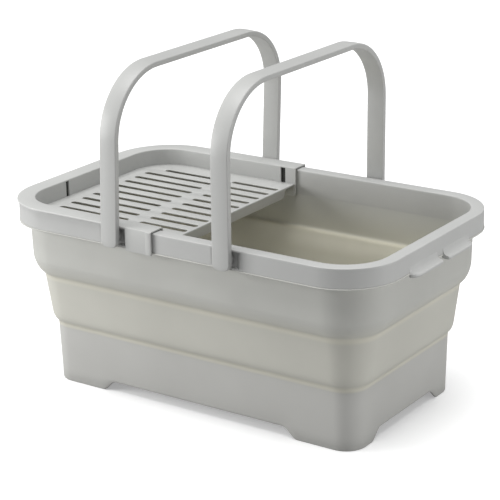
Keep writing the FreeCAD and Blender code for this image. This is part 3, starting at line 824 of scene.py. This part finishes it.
def build_crate():
    ledges = [ledge(end, side) for end in (-1, 1) for side in (-1, 1)]
    rim = make("rim_moulding", [(join(rim_shell(), *ledges), RIM_PLASTIC)], "rim")
    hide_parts("rim_frame")
    outside, inside = soft_wall()
    wall = make("folding_wall", [(outside, SOFT_WALL), (inside, INNER_WALL_PAINTED_LIGHT)], None, sharp=70.0)
    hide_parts("upper_wall", "middle_wall")
    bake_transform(wall)
    outside, inside = base_shell()
    base = make("base_moulding", [(outside, BASE_PLASTIC), (inside, INNER_WALL_PAINTED_LIGHT)], "base")
    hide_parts("base_tub")
    for body in PIVOTS:
        build_handle(body)
    build_tray()
    for name, node in frame["nodes"].items():
        if name.startswith(("pivot_pin", "pin_cap")):
            node.data.materials.clear()
            node.data.materials.append(PIN_PLASTIC)


# --- the studio -------------------------------------------------------------------------------
CAMERA_AZIMUTH = math.radians(34.62)
CAMERA_ELEVATION = math.radians(18.71)
CAMERA_ROLL = math.radians(-1.18)
CAMERA_DISTANCE = 1953.98
CAMERA_TARGET = Vector((1.21, 0.0, 155.09))
CAMERA_LENS = 129.06

MIDDLE = (0.0, 0.0, 0.15)
LOW_MIDDLE = (0.0, 0.0, 0.06)
AREA_LIGHTS = [
    # name, place and aim in metres, size in metres, power in watts
    ("left", (-0.95, -0.80, 0.38), MIDDLE, (0.6, 0.6), 10.3),
    ("right", (1.35, 0.30, 0.16), LOW_MIDDLE, (0.7, 0.3), 5.8),
]
SUN_STRENGTH = 3.3
SUN_SPREAD = math.radians(55)
SUN_TILT = math.radians(3)

FLOOR_REACH = 8.0
FLOOR_SHOWN = 0.75
FLOOR_GLOW = 0.33
FLOOR_BOUNCE = 0.35
WORLD_CAST = 0.30


def build_camera():
    """The camera stands a little to the right of the crate and looks down on it."""
    level = math.cos(CAMERA_ELEVATION)
    right = Vector((math.cos(CAMERA_AZIMUTH), math.sin(CAMERA_AZIMUTH), 0.0))
    back = Vector((right.y * level, -right.x * level, math.sin(CAMERA_ELEVATION)))
    up = back.cross(right)
    leaning_right = right * math.cos(CAMERA_ROLL) + up * math.sin(CAMERA_ROLL)
    leaning_up = up * math.cos(CAMERA_ROLL) - right * math.sin(CAMERA_ROLL)
    data = bpy.data.cameras.new("camera")
    data.lens = CAMERA_LENS
    camera = bpy.data.objects.new("camera", data)
    bpy.context.collection.objects.link(camera)
    turn = Matrix((leaning_right, leaning_up, back)).transposed().to_4x4()
    place = CAMERA_TARGET + back * CAMERA_DISTANCE
    camera.matrix_world = Matrix.Translation(place * MM) @ turn
    bpy.context.scene.camera = camera


def area_light(name, place, aim, size, power):
    data = bpy.data.lights.new(name, "AREA")
    data.shape = "RECTANGLE"
    data.size, data.size_y = size
    data.energy = power
    light = bpy.data.objects.new(name, data)
    bpy.context.collection.objects.link(light)
    light.location = place
    light.rotation_mode = "QUATERNION"
    light.rotation_quaternion = (Vector(place) - Vector(aim)).to_track_quat("Z", "Y")


def sun_light(name):
    data = bpy.data.lights.new(name, "SUN")
    data.energy = SUN_STRENGTH
    data.angle = SUN_SPREAD
    light = bpy.data.objects.new(name, data)
    bpy.context.collection.objects.link(light)
    light.rotation_euler = (SUN_TILT, -SUN_TILT, 0)


def shown_or_cast(nodes, links, shown, cast, surface):
    """Gives the camera one shader and every other ray another."""
    path = nodes.new("ShaderNodeLightPath")
    choice = nodes.new("ShaderNodeMixShader")
    links.new(path.outputs["Is Camera Ray"], choice.inputs["Fac"])
    links.new(cast, choice.inputs[1])
    links.new(shown, choice.inputs[2])
    links.new(choice.outputs["Shader"], surface)


def build_world():
    """A white surround, brighter to the eye than the light that it casts."""
    world = bpy.data.worlds.new("studio")
    bpy.context.scene.world = world
    world.use_nodes = True
    nodes, links = world.node_tree.nodes, world.node_tree.links
    shown = nodes["Background"]
    shown.inputs["Color"].default_value = (1.0, 1.0, 1.0, 1)
    cast = nodes.new("ShaderNodeBackground")
    cast.inputs["Color"].default_value = (0.97, 0.985, 1.0, 1)
    cast.inputs["Strength"].default_value = WORLD_CAST
    surface = nodes["World Output"].inputs["Surface"]
    shown_or_cast(nodes, links, shown.outputs["Background"], cast.outputs["Background"], surface)


def build_floor():
    """A white table that glows a little, and that throws less light up than it shows."""
    mesh = bpy.data.meshes.new("floor")
    signs = [(-1, -1), (1, -1), (1, 1), (-1, 1)]
    mesh.from_pydata([(x * FLOOR_REACH, y * FLOOR_REACH, 0) for x, y in signs], [], [(0, 1, 2, 3)])
    floor = bpy.data.objects.new("floor", mesh)
    bpy.context.collection.objects.link(floor)
    material = bpy.data.materials.new("floor_paint")
    material.use_nodes = True
    nodes, links = material.node_tree.nodes, material.node_tree.links
    nodes.remove(nodes["Principled BSDF"])

    def paint(grey):
        node = nodes.new("ShaderNodeBsdfDiffuse")
        node.inputs["Color"].default_value = (grey, grey, grey, 1)
        return node.outputs["BSDF"]

    glow = nodes.new("ShaderNodeEmission")
    glow.inputs["Strength"].default_value = FLOOR_GLOW
    shown = nodes.new("ShaderNodeAddShader")
    links.new(paint(FLOOR_SHOWN), shown.inputs[0])
    links.new(glow.outputs["Emission"], shown.inputs[1])
    surface = nodes["Material Output"].inputs["Surface"]
    shown_or_cast(nodes, links, shown.outputs["Shader"], paint(FLOOR_BOUNCE), surface)
    mesh.materials.append(material)


def build_studio():
    bpy.context.scene.view_settings.view_transform = "Standard"
    build_world()
    build_floor()
    for light in AREA_LIGHTS:
        area_light(*light)
    sun_light("above")


build_camera()
build_crate()
build_studio()
